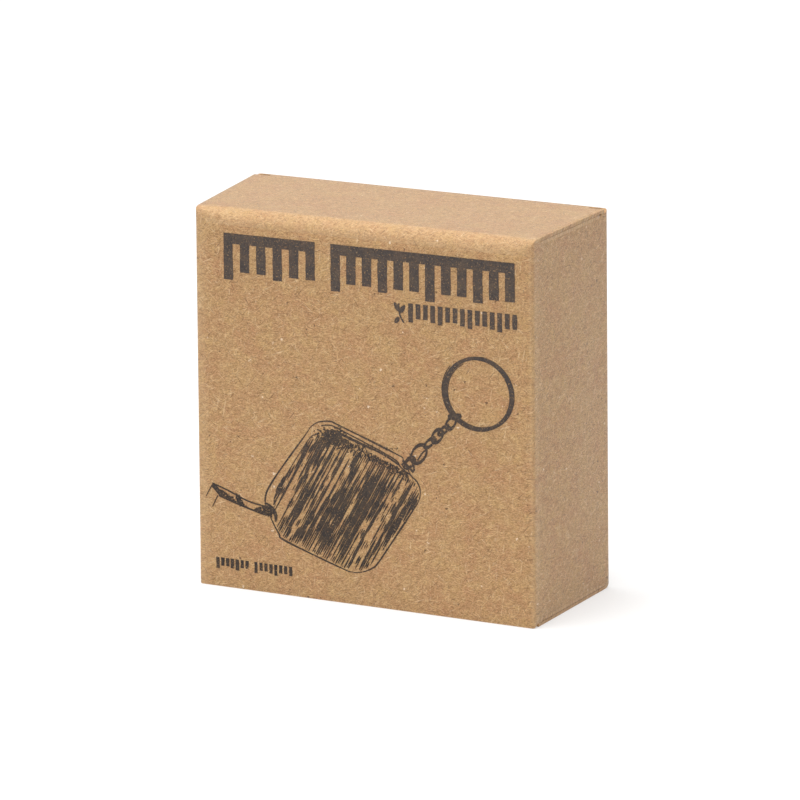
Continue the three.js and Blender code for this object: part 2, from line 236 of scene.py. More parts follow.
def sheet(name, samples, span, place, material, columns=40, rims=None, uv=None, thick=BOARD):
    """A closed board of even thickness, bent along traced samples. span(sample) is its (low, high) edge
    there, rims(sample) how round these edges are, and place(a, b, c) the point for c along the edge."""
    verts, uvs, folds, rings = [], [], [], []
    corner = [(sin(q), 1 - cos(q)) for q in (pi / 4, pi / 2)]
    for sample in samples:
        a, b, out_a, out_b, length, folded = sample
        low, high = span(sample)
        low_rim, high_rim = rims(sample) if rims else (RIM, RIM)
        low, high = low + low_rim, high - high_rim
        outline = [(low + (high - low) * k / columns, 0.0) for k in range(columns + 1)]
        outline += [(high + high_rim * s, high_rim * c) for s, c in corner]
        outline += [(high + high_rim * s, thick - high_rim * c) for s, c in reversed(corner)]
        outline += [(c, thick) for c, _ in reversed(outline[:columns + 1])]
        outline += [(low - low_rim * s, thick - low_rim * c) for s, c in corner]
        outline += [(low - low_rim * s, low_rim * c) for s, c in reversed(corner)]
        rings.append(range(len(verts), len(verts) + len(outline)))
        for c, depth in outline:
            verts.append(place(a - out_a * depth, b - out_b * depth, c))
            uvs.append(uv(length, c, depth) if uv else (length, c + depth))
            folds.append(folded)
    faces = [face for low, high in zip(rings, rings[1:]) for face in band(low, high)]
    for ring, flip in ((rings[0], False), (rings[-1], True)):
        # outer column k faces inner column k across the board; the rounded rims close the two ends
        top = ring[:columns + 1]
        high_rim_points = ring[columns + 1:columns + 5]
        bottom = ring[columns + 5:2 * columns + 6][::-1]
        low_rim_points = ring[2 * columns + 6:]
        for k in range(columns):
            quad = (top[k], bottom[k], bottom[k + 1], top[k + 1])
            faces.append(quad[::-1] if flip else quad)
        for end in ([top[-1], *high_rim_points, bottom[-1]], [bottom[0], *low_rim_points, top[0]]):
            faces.append(tuple(end if flip else end[::-1]))
    return turned_out(mesh_object(name, verts, faces, material, uvs=uvs, marks={"fold": folds}))


# ---- node helpers

def srgb(*levels):
    """A colour given as 0 to 255 display levels, as linear numbers."""
    return tuple(((c / 255 + 0.055) / 1.055) ** 2.4 if c > 10 else c / 3294 for c in levels) + (1.0,)


class Paint:
    """A material's node tree, written one call for each node. Inputs are numbers, colours or sockets."""

    def __init__(self, name, **settings):
        self.material = bpy.data.materials.new(name)
        self.material.use_nodes = True
        self.tree = self.material.node_tree
        self.shader = self.tree.nodes["Principled BSDF"]
        self.set(self.shader, settings)

    def set(self, node, inputs):
        for key, value in inputs.items():
            if isinstance(value, bpy.types.NodeSocket):
                self.tree.links.new(value, node.inputs[key])
            else:
                node.inputs[key].default_value = value
        return node

    def add(self, kind, inputs, **options):
        node = self.tree.nodes.new("ShaderNode" + kind)
        for key, value in options.items():
            setattr(node, key, value)
        return self.set(node, inputs)

    def millimetres(self, scale=(1, 1, 1), turn=(0, 0, 0), shift=(0, 0, 0), on="blank"):
        """Coordinates in millimetres: on the flat blank, or of the piece itself."""
        if on == "blank":
            base, unit = self.add("UVMap", {}, uv_map="mm").outputs[0], 1
        else:
            base, unit = self.add("TexCoord", {}).outputs["Object"], 1 / MM
        if any(turn):
            base = self.add("Mapping", {0: base, "Rotation": [radians(t) for t in turn]}).outputs[0]
        scaled = [s * unit for s in scale]
        return self.add("Mapping", {0: base, "Scale": scaled, "Location": shift}).outputs[0]

    def noise(self, at, scale=1.0, detail=2.0, rough=0.5, distort=0.0):
        return self.add("TexNoise", {"Vector": at, "Scale": scale, "Detail": detail, "Roughness": rough,
                                     "Distortion": distort}, noise_dimensions="3D").outputs[0]

    def grain(self, scale, detail, rough, shift=(0, 0, 0)):
        """Noise in the piece's own millimetres; scale is one number, or one for each axis."""
        scale = scale if isinstance(scale, tuple) else (scale,) * 3
        return self.noise(self.millimetres(scale, shift=shift, on="object"), 1.0, detail, rough)

    def cells(self, at, scale):
        """The distance to the nearest cell's middle, and a random number for that cell."""
        cell = self.add("TexVoronoi", {"Vector": at, "Scale": scale})
        return cell.outputs["Distance"], self.add("SeparateColor", {0: cell.outputs["Color"]}).outputs[0]

    def between(self, value, low, high, to_low=0.0, to_high=1.0):
        """A value stretched from low..high to to_low..to_high, and kept inside them."""
        return self.add("MapRange", {"Value": value, "From Min": low, "From Max": high, "To Min": to_low,
                                     "To Max": to_high}, clamp=True).outputs[0]

    def math(self, operation, one, two=0.0):
        return self.add("Math", {0: one, 1: two}, operation=operation).outputs[0]

    def mix(self, share, one, two, how="MIX"):
        node = self.add("Mix", {}, data_type="RGBA", blend_type=how)
        return self.set(node, {0: share, 6: one, 7: two}).outputs[2]

    def tint(self, colour, mask, share, tone):
        """The colour, with a share of a tone laid over it where the mask is 1."""
        return self.mix(self.math("MULTIPLY", mask, share), colour, tone)

    def ramp(self, value, stops):
        node = self.add("ValToRGB", {0: value})
        elements = node.color_ramp.elements
        while len(elements) < len(stops):
            elements.new(0.5)
        for element, (place, colour) in zip(elements, stops):
            element.position = place
            element.color = colour
        return node.outputs[0]

    def bump(self, height, distance, strength):
        inputs = {"Height": height, "Distance": distance * MM, "Strength": strength}
        return self.add("Bump", inputs).outputs[0]

    def done(self, colour, normal, **inputs):
        """Joins colour and bump to the shader, and gives the material."""
        self.set(self.shader, {"Base Color": colour, "Normal": normal, **inputs})
        return self.material


# ---- board and ink

KRAFT = srgb(188, 148, 101)
FIBRE_LIGHT = srgb(226, 189, 138)
FIBRE_DARK = srgb(136, 99, 62)
FIBRE_PALE = srgb(236, 208, 168)
HAIR_DARK = srgb(104, 74, 52)
KRAFT_RED = srgb(183, 131, 92)
KRAFT_YELLOW = srgb(195, 157, 102)
# lighter tone for the folds: partly worn fibres, partly a painted highlight
FOLD_WEAR_AND_HIGHLIGHT = srgb(222, 188, 147)
INK_DARK, INK_PALE = srgb(66, 59, 57), srgb(92, 83, 78)
GRAIN_SHADES = ((0.0, (0.62, 0.57, 0.53, 1)), (0.5, (1, 1, 1, 1)), (1.0, (1.32, 1.36, 1.39, 1)))
# direction in degrees, shift of the pattern, and threshold or tone with its share
FIBRES = ((8, 3, 0.61), (38, 11, 0.62), (100, 23, 0.64), (160, 37, 0.61))
HAIRS = ((22, 61, FIBRE_PALE, 0.65), (80, 71, FIBRE_PALE, 0.65), (140, 83, FIBRE_PALE, 0.65),
         (50, 29, HAIR_DARK, 0.7), (125, 43, HAIR_DARK, 0.7), (0, 19, HAIR_DARK, 0.6))
# cells to a millimetre, shift, share of the cells left out, and tone
SPECKS = ((0.5, 0, 0.66, srgb(80, 54, 42)), (0.45, 9, 0.72, srgb(244, 224, 196)))
SPECK_SIZE = 0.12


def fibres(paint, turn, shift, threshold, length=0.75, width=5.0):
    """A mask of short bent fibres that lie along one direction of the blank."""
    shifts = (shift, shift * 0.7, shift * 0.3)
    at = paint.millimetres(scale=(length, width, 1), turn=(0, 0, turn), shift=shifts)
    return paint.between(paint.noise(at, 1.0, 1.5, 0.5, 0.5), threshold, threshold + 0.07)


def kraft_colour(paint):
    """The board's colour and its height in the bump: mottling, fine grain, fibres, specks, and folds
    lightened partly by wear and partly by a painted highlight.
    """
    cloud = paint.noise(paint.millimetres(), 0.16, 3, 0.6)
    colour = paint.mix(paint.between(cloud, 0.38, 0.68, 0.0, 0.6), KRAFT, KRAFT_RED)
    patch = paint.noise(paint.millimetres(shift=(31, 17, 5)), 0.5, 3, 0.6)
    colour = paint.mix(paint.between(patch, 0.48, 0.66, 0.0, 0.5), colour, KRAFT_YELLOW)
    grain = paint.noise(paint.millimetres(scale=(0.8, 1.1, 1)), 3.4, 3, 0.75, 0.4)
    shade = paint.ramp(paint.between(grain, 0.31, 0.69), GRAIN_SHADES)
    colour = paint.mix(1.0, colour, shade, "MULTIPLY")
    height = paint.math("MULTIPLY", grain, 0.6)
    for turn, shift, threshold in FIBRES:
        dark = fibres(paint, turn + 9, shift + 50, threshold + 0.01)
        colour = paint.tint(colour, dark, 0.62, FIBRE_DARK)
        light = fibres(paint, turn, shift, threshold)
        colour = paint.tint(colour, light, 0.55, FIBRE_LIGHT)
        height = paint.math("ADD", height, paint.math("MULTIPLY", light, 0.35))
    for turn, shift, tone, share in HAIRS:
        colour = paint.tint(colour, fibres(paint, turn, shift, 0.675, 0.4, 6.0), share, tone)
    for scale, shift, left_out, tone in SPECKS:
        at = paint.millimetres(shift=(shift, shift, 0))
        wander = paint.add("TexNoise", {"Vector": at, "Scale": 1.6}).outputs[1]
        distance, pick = paint.cells(paint.add("VectorMath", {0: at, 1: wander}).outputs[0], scale)
        chosen = paint.between(pick, left_out, left_out + 0.01)
        spot = paint.between(distance, SPECK_SIZE, SPECK_SIZE * 0.55)
        colour = paint.tint(colour, paint.math("MULTIPLY", chosen, spot), 0.8, tone)
    # folds get a lighter tone: partly worn fibres, partly a painted highlight along each crease
    fold = paint.add("Attribute", {}, attribute_name="fold").outputs["Fac"]
    wear_and_highlight_share = paint.between(paint.noise(paint.millimetres(shift=(7, 3, 1)), 1.5, 4, 0.7), 0.34, 0.62, 0.04, 0.3)
    return paint.tint(colour, fold, wear_and_highlight_share, FOLD_WEAR_AND_HIGHLIGHT), height


def kraft_material():
    paint = Paint("kraft_board", **{"Roughness": 0.8, "Specular IOR Level": 0.5, "Sheen Weight": 0.9,
                                    "Sheen Roughness": 0.33})
    colour, height = kraft_colour(paint)
    return paint.done(colour, paint.bump(height, 0.06, 0.5))


def ink_material():
    """Charcoal ink, darker towards the base, through which the board shows as small flecks."""
    paint = Paint("print_ink", **{"Specular IOR Level": 0.2})
    board, height = kraft_colour(paint)
    at = paint.millimetres(shift=(5, 9, 2))
    tone = paint.mix(paint.between(paint.noise(at, 2.4, 3, 0.7), 0.3, 0.7), INK_DARK, INK_PALE)
    up = paint.add("SeparateXYZ", {0: at}).outputs[1]
    tone = paint.mix(1.0, tone, paint.between(up, 24, 62, 0.55, 0.96), "MULTIPLY")
    fleck = paint.between(paint.noise(at, 3.4, 2, 0.6), 0.60, 0.68, 0.0, 0.55)
    thin = paint.between(paint.noise(at, 0.45, 2, 0.5), 0.35, 0.75, 0.0, 0.10)
    return paint.done(paint.mix(paint.math("MAXIMUM", fleck, thin), tone, board),
                      paint.bump(height, 0.05, 0.35), Roughness=paint.between(tone, 0.0, 0.2, 0.6, 0.85))


KRAFT_BOARD = kraft_material()
PRINT_INK = ink_material()


# ---- carton

def finish_piece(made, body, slot, *nodes):
    """Attaches a piece to the body it rides on, and hides the CAD nodes that it stands for. slot is not used.
    """
    if body:
        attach(made, body)
    if nodes:
        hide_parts(*nodes)
    return made


def rim_height(y, rear=0.0):
    """How high the sleeve's wall reaches at a depth of its plan; rear lowers its back edge."""
    if y >= SIDE_FLAT:
        return WALL_TOP + clamped((y - SIDE_FLAT) / SIDE_FOLD) * (HEIGHT - rear - WALL_TOP)
    if DUST_BOX[0].y - GAP < y < DUST_BOX[1].y + GAP:
        return DUST_TOP - DUST_CREASE
    if y >= -SIDE_FLAT:
        return WALL_TOP
    share = ((LID_FOLD - HALF_DEPTH - y) / LID_FOLD) ** (1 / LID_END)
    if share >= 1 - 1e-6:
        return LID_START
    return min(WALL_TOP, LID_START + LID_FOLD * sqrt(1 - share ** 2) ** LID_END - GAP)


UPRIGHT, WIDE, DEEP = ("fold", SIDE_FOLD, 90), ("line", 2 * FLAT), ("line", 2 * SIDE_FLAT)
SLEEVE_PLAN = [UPRIGHT, WIDE, UPRIGHT, DEEP, UPRIGHT, WIDE, UPRIGHT, ("line", 2 * SIDE_FLAT - 0.2)]
FRONT_END = 1.5 * pi * SIDE_FOLD + 4 * FLAT + 2 * SIDE_FLAT
BASE_BLANK, DUST_BLANK = 400, 200  # where the base lid and the dust flaps lie on the flat blank


def along_front(x):
    """Length along the blank, from its glued end, to a point of the front panel."""
    return FRONT_END - FLAT - x


def sleeve():
    """Back, right, front and left panels: one board round the carton, its ends at the back left corner."""
    samples = trace((-HALF_WIDTH, SIDE_FLAT), 90, SLEEVE_PLAN)

    def span(sample):
        x, y = sample[:2]
        return HEIGHT - rim_height(-cornered(x, y, 0)[1]), rim_height(cornered(x, y, HEIGHT)[1], REAR_DROP)

    def rims(sample):
        y = sample[1]
        return CUT_RIM if y > HALF_DEPTH - 1e-3 else RIM, CUT_RIM if y < SIDE_FLAT else RIM

    def place(x, y, z):
        add_x, add_y = swollen(x, y, z)
        x, y = cornered(x, y, z)
        return racked((x + add_x, y + add_y, z))

    made = sheet("carton_sleeve", samples, span, place, KRAFT_BOARD, columns=44, rims=rims)
    finish_piece(made, "carton", "kraft_board", "front_panel", "right_panel", "back_panel", "left_panel")


def closure(top):
    """Lid, tuck flap and two dust flaps of one end; the base is the same, turned over about X."""
    side = "top" if top else "base"
    corner_power = TOP_CORNER if top else BASE_CORNER
    flat_run = TUCK_START + HALF_DEPTH - LID_FOLD
    tuck_arc = CREASE * radians(TUCK_TURN)

    def put(x, y, z):
        return racked((x, y, z)) if top else racked((x, -y, HEIGHT - z))

    def hinged(board, node):
        """The top's boards have their placing baked in and ride on no body; the base's ride on the carton."""
        if top:
            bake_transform(board)
        finish_piece(board, None if top else "carton", "kraft_board", f"{side}_{node}")

    def lid_uv(length, x, depth):
        return (along_front(x), LID_START + length + depth) if top else (x, BASE_BLANK + length + depth)

    def half_lid(sample):
        """Half the lid's width, which follows the sleeve's upright folds at the front."""
        into = clamped((-SIDE_FLAT - lid_folded(HALF_WIDTH, *sample[:2])[1]) / SIDE_FOLD)
        return FLAT + SIDE_FOLD * (1 - into ** (2 / corner_power)) ** (corner_power / 2) - 0.01

    lid = sheet(side + "_lid_board",
                trace((-HALF_DEPTH, LID_START), 90, [("fold", LID_FOLD, 90), ("line", flat_run)]),
                lambda s: (-half_lid(s), half_lid(s)), lambda y, z, x: put(*lid_folded(x, y, z)),
                KRAFT_BOARD, columns=60, uv=lid_uv)
    hinged(lid, "lid")

    def half_tuck(sample):
        return TUCK_HALF - round_off(TUCK_ROUND, TUCK_LENGTH + tuck_arc - sample[4])

    def creased(y, z, x):
        back, up = squared(y - TUCK_START, z - HEIGHT + CREASE, CREASE_POWER)
        return put(x, TUCK_START + back, HEIGHT - CREASE + up)

    tuck = sheet(side + "_tuck_board",
                 trace((TUCK_START, HEIGHT), 0, [("fold", CREASE, TUCK_TURN), ("line", TUCK_LENGTH)]),
                 lambda s: (-half_tuck(s), half_tuck(s)), creased, KRAFT_BOARD,
                 uv=lambda length, x, depth: lid_uv(length + flat_run + LID_FOLD * pi / 2, x, depth))
    hinged(tuck, "tuck_flap")

    def dusted(hand, a, y, z):
        """A point of a dust flap. The crease of the top left one follows the racked wall; the flap itself
        is square."""
        out, up = -a - HALF_WIDTH + DUST_CREASE, z - DUST_TOP + DUST_CREASE
        turned = atan2(up, out) / (pi / 2) if out > 0 else 1.0
        out, up = squared(out, up, DUST_POWER)
        point = (hand * (HALF_WIDTH - DUST_CREASE + out), y, DUST_TOP - DUST_CREASE + up)
        if hand > 0 or not top:
            return put(*point)
        return racked(point).lerp(Vector(point), eased((turned - 0.12) / 0.5))

    def dust_span(sample):
        run = max(0.0, sample[4] - DUST_CREASE * pi / 2)
        return DUST_BOX[0].y + 0.9 * run, DUST_BOX[1].y - 0.2 * run

    plan = [("fold", DUST_CREASE, 45)] * 2 + [("line", DUST_REACH - DUST_CREASE)]
    for hand, word in ((1, "right"), (-1, "left")):
        flap = sheet(f"{side}_dust_board_{word}", trace((-HALF_WIDTH, DUST_TOP - DUST_CREASE), 90, plan),
                     dust_span, lambda a, z, y: dusted(hand, a, y, z), KRAFT_BOARD, columns=24,
                     uv=lambda length, y, depth: (DUST_BLANK + 60 * hand + y, length + depth))
        hinged(flap, "dust_flap_" + word)


def glue_flap():
    """The strip of the back panel that is glued inside the left one."""
    low, high = FLAP_BOX
    outside = -HALF_WIDTH + BOARD + GAP

    def span(sample):
        slope = 0.25 * max(0.0, sample[4] - 8)
        return low.z + slope, high.z - slope

    samples = trace((outside, SIDE_FLAT), -90, [("line", high.y - low.y)])
    made = sheet("glue_flap_board", samples, span, lambda x, y, z: racked((2 * outside - x, y, z)),
                 KRAFT_BOARD, columns=20, uv=lambda length, z, depth: (-length - 5, z + depth))
    finish_piece(made, "carton", "kraft_board", "glue_flap")


sleeve()
closure(True)
closure(False)
glue_flap()


# ---- printing on the front panel

FILM = 0.03
# strokes lie at slightly different heights, because faces that coincide render too dark
FILMS = itertools.cycle([FILM + 0.001 * k for k in range(40)])
ART = random.Random(11)


def on_front(across, up, out):
    """A point on the front panel, measured from its lower left corner, out in front of its face."""
    x = across - HALF_WIDTH
    return racked((x, -HALF_DEPTH + swollen(x, -HALF_DEPTH, up)[1] - out, up))


def smooth_line(points, step=0.45, closed=False):
    """Points along a smooth line through the given ones."""
    ends = (points[-1], *points, points[0], points[1]) if closed else (points[0], *points, points[-1])
    line = []
    for before, one, two, after in zip(ends, ends[1:], ends[2:], ends[3:]):
        count = max(1, round(dist(one, two) / step))
        for k in range(count):
            t = k / count
            line.append(tuple(0.5 * (2 * b + (c - a) * t + (2 * a - 5 * b + 4 * c - d) * t ** 2
                                     + (3 * b - a - 3 * c + d) * t ** 3)
                              for a, b, c, d in zip(before, one, two, after)))
    line.append(points[0] if closed else points[-1])
    return line


class Printing:
    """Marks of ink on the front panel, gathered into one mesh of thin closed strips."""

    def __init__(self):
        self.verts, self.faces, self.uvs = [], [], []

    def strip(self, left, right):
        first = len(self.verts)
        film = next(FILMS)
        for one, two in zip(left, right):
            for (across, up), out in ((one, film), (two, film), (two, -FILM), (one, -FILM)):
                self.verts.append(on_front(across, up, out))
                self.uvs.append((along_front(across - HALF_WIDTH), up))
        rings = [range(k, k + 4) for k in range(first, len(self.verts), 4)]
        for low, high in zip(rings, rings[1:]):
            self.faces += band(low, high)
        self.faces += [tuple(rings[0]), tuple(rings[-1][::-1])]

    def stroke(self, line, width):
        """A line of ink; width is a number, or gives one for each share of the way along."""
        left, right = [], []
        for k, (across, up) in enumerate(line):
            before, after = line[max(0, k - 1)], line[min(len(line) - 1, k + 1)]
            run = dist(before, after) or 1.0
            half = (width(k / (len(line) - 1)) if callable(width) else width) / 2
            side = (-(after[1] - before[1]) / run * half, (after[0] - before[0]) / run * half)
            left.append((across + side[0], up + side[1]))
            right.append((across - side[0], up - side[1]))
        self.strip(left, right)

    def curve(self, points, width, step=0.45, closed=False):
        """A smooth stroke through the given points."""
        self.stroke(smooth_line(points, step, closed), width)

    def dab(self, spot, way, width):
        """A short loose stroke, from way before a spot to way after it."""
        self.stroke([tuple(spot - way), tuple(spot), tuple(spot + way)], width)

    def bar(self, low, high):
        """An upright bar with slightly uneven edges, as ink leaves them."""
        count = max(2, round((high[1] - low[1]) / 0.8))
        levels = [low[1] + (high[1] - low[1]) * k / count for k in range(count + 1)]
        self.strip([(low[0] + ART.uniform(-0.05, 0.05), z) for z in levels],
                   [(high[0] + ART.uniform(-0.05, 0.05), z) for z in levels])

    def piece(self, name):
        made = turned_out(mesh_object(name, self.verts, self.faces, PRINT_INK, uvs=self.uvs))
        return finish_piece(made, "carton", "print_ink")


def scale_marks(name, groups, base, rail, stroke, pitch, drops):
    """Rule marks that hang from a rail: a stand-in for a line of print. Each group is its start and end
    across the panel, base is the height that the marks hang from, and drops are their lengths."""
    ink = Printing()
    for start, end in groups:
        if rail:
            ink.bar((start, base - rail), (end, base))
        count = int((end - start - stroke) / pitch + 1e-6)
        spread = (end - start - stroke) / count
        for k in range(count + 1):
            left = start + k * spread
            ink.bar((left, base - drops[k % len(drops)]), (left + stroke, base - rail))
    return ink.piece(name)


def leaf_mark():
    """Three leaves on a stem."""
    ink = Printing()
    for root, tip in (((41.6, 54.9), (40.6, 56.5)), ((41.7, 54.6), (42.7, 56.2)),
                      ((41.6, 53.9), (40.7, 52.8))):
        ink.curve((root, tip), lambda t: 0.12 + 0.75 * sin(pi * t), 0.2)
    ink.curve(((42.5, 53.0), (41.7, 54.4), (41.5, 56.4)), 0.3, 0.3)
    ink.piece("print_leaf")


def inside(point, outline):
    """Whether a point lies inside a closed outline."""
    x, y = point
    crossings = 0
    for (x1, y1), (x2, y2) in zip(outline, outline[1:] + outline[:1]):
        if (y1 > y) != (y2 > y) and x < x1 + (y - y1) / (y2 - y1) * (x2 - x1):
            crossings += 1
    return crossings % 2 == 1


def ring_line(centre, radii, turn, count):
    """An ellipse's line, turned by degrees."""
    c, s = cos(radians(turn)), sin(radians(turn))
    line = []
    for k in range(count + 1):
        q = tau * k / count
        a, b = radii[0] * cos(q), radii[1] * sin(q)
        line.append((centre[0] + a * c - b * s, centre[1] + a * s + b * c))
    return line


OUTLINE = [(13.8, 17.0), (15.3, 20.8), (22.2, 30.2), (23.4, 31.9), (25.0, 33.0), (27.3, 33.4), (29.2, 32.9),
           (40.8, 28.9), (42.2, 27.9), (43.6, 25.4), (44.9, 24.2), (45.5, 22.6), (45.1, 20.7), (43.5, 18.2),
           (37.2, 8.9), (35.6, 7.2), (33.4, 6.2), (31.5, 6.0), (29.5, 6.4), (18.0, 10.1), (16.6, 11.3),
           (15.0, 14.0)]
FACE = [(15.2, 15.4), (16.3, 12.0), (18.0, 10.3), (30.0, 6.45), (33.3, 6.4), (35.5, 7.6), (44.9, 20.6),
        (45.3, 22.6), (44.5, 24.2), (42.6, 25.4), (29.6, 29.9), (25.0, 30.6), (22.6, 29.2), (16.2, 19.8)]
LEFT_EDGE = [(15.7, 16.6), (16.4, 19.4), (22.7, 29.2), (24.4, 30.6)]
TOP_EDGE = [(25.6, 32.4), (27.4, 32.7), (29.5, 32.1), (39.8, 28.2), (41.6, 26.6), (43.6, 25.3)]
RIM_SHADE = [(28.6, 31.7), (33.0, 30.2), (38.0, 28.6), (41.2, 27.0)]
GRAIN = Vector((8, 14)).normalized()
HATCH_NOISE = ((0.33, 0.05, 1.7), (2.3, 0.07, 5.1), (3.1, 0.5, 9.3))  # scales across and along, and a layer
LINKS = [((51.7, 35.7), (1.35, 0.75)), ((50.3, 34.3), (1.35, 0.45)), ((49.0, 33.1), (1.45, 0.85)),
         ((47.5, 31.7), (1.4, 0.5)), ((45.3, 29.4), (2.0, 1.25)), ((43.4, 27.6), (1.35, 0.7))]
EYELET = [(((41.9, 26.9), (43.0, 28.0), (44.4, 28.4)), 0.55),
          (((42.0, 27.9), (43.1, 26.9), (44.2, 25.9)), 0.45),
          (((43.0, 28.6), (44.1, 27.5), (44.3, 26.2)), 0.4),
          (((47.0, 30.4), (46.1, 29.8), (45.0, 28.2)), 0.3)]


def hatching():
    """The wood grain of the drawn case: long strokes whose width follows bands of light and dark."""
    ink = Printing()
    across = Vector((GRAIN.y, -GRAIN.x))
    centre = Vector((30, 18))
    spacing, step = 0.37, 0.40
    for row in range(-38, 39):
        offset = row * spacing + ART.uniform(-0.06, 0.06)
        run = []
        for k in range(-36, 37):
            along = k * step
            at = centre + across * offset + GRAIN * along
            wide, streak, fleck = (field.noise(Vector((offset * a, along * b, c))) for a, b, c in HATCH_NOISE)
            middle = exp(-((offset + 1.5) / 7.5) ** 2)
            cover = 0.49 + 0.2 * middle + 0.5 * wide + 1.1 * streak + 0.8 * fleck
            if inside(at, FACE) and cover > 0.22:
                run.append((tuple(at), spacing * min(1.5 * cover - 0.08, 1.16)))
                continue
            if len(run) > 1:
                line, widths = zip(*run)
                ink.stroke(line, lambda t: (widths[round(t * (len(widths) - 1))]
                                            * min(1.0, 0.4 + 3 * t, 3.4 - 3 * t)))
            run = []
    return ink.piece("print_case_grain")


def drawn_case():
    """Outlines, rim and thumb hollow of the drawn case."""
    ink = Printing()

    def dabs(count, width, place, reach):
        """Short loose strokes: place() gives each one's middle, reach() its half length, as vectors."""
        for _ in range(count):
            ink.dab(Vector(place()), Vector(reach()), ART.uniform(*width))

    def rim_width(t):
        return 0.34 + 0.3 * sin(pi * min(1.0, 1.6 * t)) * (0.6 + 0.4 * sin(61 * t))

    ink.curve(OUTLINE, lambda t: 0.27 + 0.07 * sin(23 * t) + 0.05 * sin(57 * t), closed=True)
    for points, width in ((LEFT_EDGE, 0.17), (TOP_EDGE, 0.24), (RIM_SHADE, rim_width)):
        ink.curve(points, width)

    def fan():
        way = Vector((ART.uniform(-0.5, 0.5), ART.uniform(-0.45, 0.45)))
        return way * ART.uniform(0.4, 1.0)

    def shade():
        t = ART.random()
        return 29.6 + 13.6 * t, 30.6 - 4.9 * t - abs(ART.gauss(0, 0.75))

    def tick():
        return ART.uniform(-0.12, 0.12), ART.uniform(-0.30, 0.05)

    dabs(330, (0.12, 0.30), lambda: (27.9 + ART.gauss(0, 1.25), 30.5 + ART.gauss(0, 0.72)), fan)
    dabs(380, (0.10, 0.24), shade, tick)
    dabs(90, (0.08, 0.14), lambda: (34.5 + ART.gauss(0, 3.6), 29.6 + ART.gauss(0, 0.3)), tick)
    ink.piece("print_case_outline")


def drawn_blade():
    """The drawn blade: two edges, its tip, flecks between them, its root, and the hook's two thin lines."""
    ink = Printing()

    def inked(t, share):
        """Where the blade is dark, by shares along and across it: a wedge at its tip, a patch, its root."""
        wedge = share > 0.25 + 1.9 * abs(t - 0.12)
        patch = abs(t - 0.4) < 0.03 + 0.05 * share
        return wedge or patch or t > 0.86 - 0.2 * share

    ink.curve(((2.9, 19.15), (6.0, 18.2), (10.5, 16.6), (15.4, 15.9)), 0.28)
    ink.curve(((4.2, 17.0), (8.0, 15.9), (12.0, 14.9), (15.2, 14.3)), 0.34)
    ink.stroke([(3.0, 18.9), (3.9, 18.0), (4.8, 17.1)], 0.9)
    for _ in range(430):
        t, share = ART.random(), ART.random()
        upper, lower = Vector((3.2 + 12.2 * t, 18.9 - 3.2 * t)), Vector((4.4 + 10.8 * t, 17.0 - 2.7 * t))
        if inked(t, share):
            way = Vector((ART.uniform(-0.3, 0.3), ART.uniform(-0.16, 0.12)))
            ink.dab(upper.lerp(lower, share), way, ART.uniform(0.10, 0.34))
    ink.curve(((13.9, 16.7), (15.2, 15.9), (16.0, 14.6), (15.9, 13.5)), lambda t: 0.35 + 0.5 * sin(pi * t))
    for start, end in (((3.0, 19.1), (1.55, 16.6)), ((4.0, 17.0), (2.85, 14.75))):
        ink.curve((start, end), lambda t: 0.21 - 0.06 * t, 0.5)
    ink.piece("print_blade")


def drawn_chain():
    """The drawn split ring, chain links and eyelet."""
    ink = Printing()

    def ring_width(t):
        left = max(0.0, sin(tau * (t - 0.32))) ** 0.7
        return 0.62 + 0.42 * left + 0.4 * max(0.0, cos(tau * (t - 0.04))) ** 1.5

    ink.stroke(ring_line((57.2, 41.6), (6.6, 6.4), 0, 72), ring_width)
    ink.stroke(ring_line((57.35, 41.55), (6.2, 6.0), 0, 72)[24:52], 0.14)
    ink.stroke(ring_line((57.0, 41.7), (7.0, 6.8), 0, 72)[28:46], 0.16)
    ink.curve(((51.1, 36.9), (52.6, 37.0), (53.8, 37.4)), lambda t: 0.5 + 0.8 * sin(pi * t), 0.3)
    for k, (centre, radii) in enumerate(LINKS):
        ink.stroke(ring_line(centre, radii, 47 + 6 * (-1) ** k, 20),
                   lambda t: 0.54 + 0.16 * sin(4 * pi * t + 0.7))
    for points, width in EYELET:
        ink.curve(points, width, 0.3)
    ink.piece("print_chain")


scale_marks("print_headline", ((5.9, 24.6), (27.8, 64.5)), 65.8, 1.9, 1.9, 3.15,
            (8.5, 7.0, 7.0, 7.8, 7.0, 7.0))
scale_marks("print_subline", ((43.4, 64.9),), 56.6, 0, 0.92, 1.38, (3.4, 2.7, 2.7, 3.1))
scale_marks("print_footer", ((3.5, 10.2), (11.4, 19.2)), 5.4, 0, 0.66, 1.0, (2.05, 1.5, 1.5, 1.75))
leaf_mark()
hatching()
drawn_case()
drawn_blade()
drawn_chain()


# ---- the tape measure's finishes

def bamboo_material():
    """Narrow glued strips with fine upright fibres, under a satin coat."""
    paint = Paint("bamboo", **{"Specular IOR Level": 0.45, "Coat Weight": 0.25, "Coat Roughness": 0.3})
    strip = paint.cells(paint.millimetres(scale=(0.19, 0.16, 0.004), shift=(3, 1, 0), on="object"), 1.0)[1]
    colour = paint.mix(strip, srgb(201, 158, 98), srgb(222, 183, 122))
    wide = paint.grain((1.3, 1.3, 0.05), 3, 0.6)
    colour = paint.mix(paint.between(wide, 0.4, 0.7, 0.0, 0.55), colour, srgb(178, 131, 74))
    fine = paint.grain((7, 7, 0.22), 3, 0.7, (2, 5, 7))
    colour = paint.mix(paint.between(fine, 0.52, 0.68, 0.0, 0.7), colour, srgb(142, 94, 47))
    colour = paint.mix(paint.between(fine, 0.45, 0.3, 0.0, 0.35), colour, srgb(236, 205, 152))
    return paint.done(colour, paint.bump(fine, 0.05, 0.4),
                      Roughness=paint.between(fine, 0.3, 0.7, 0.34, 0.52))


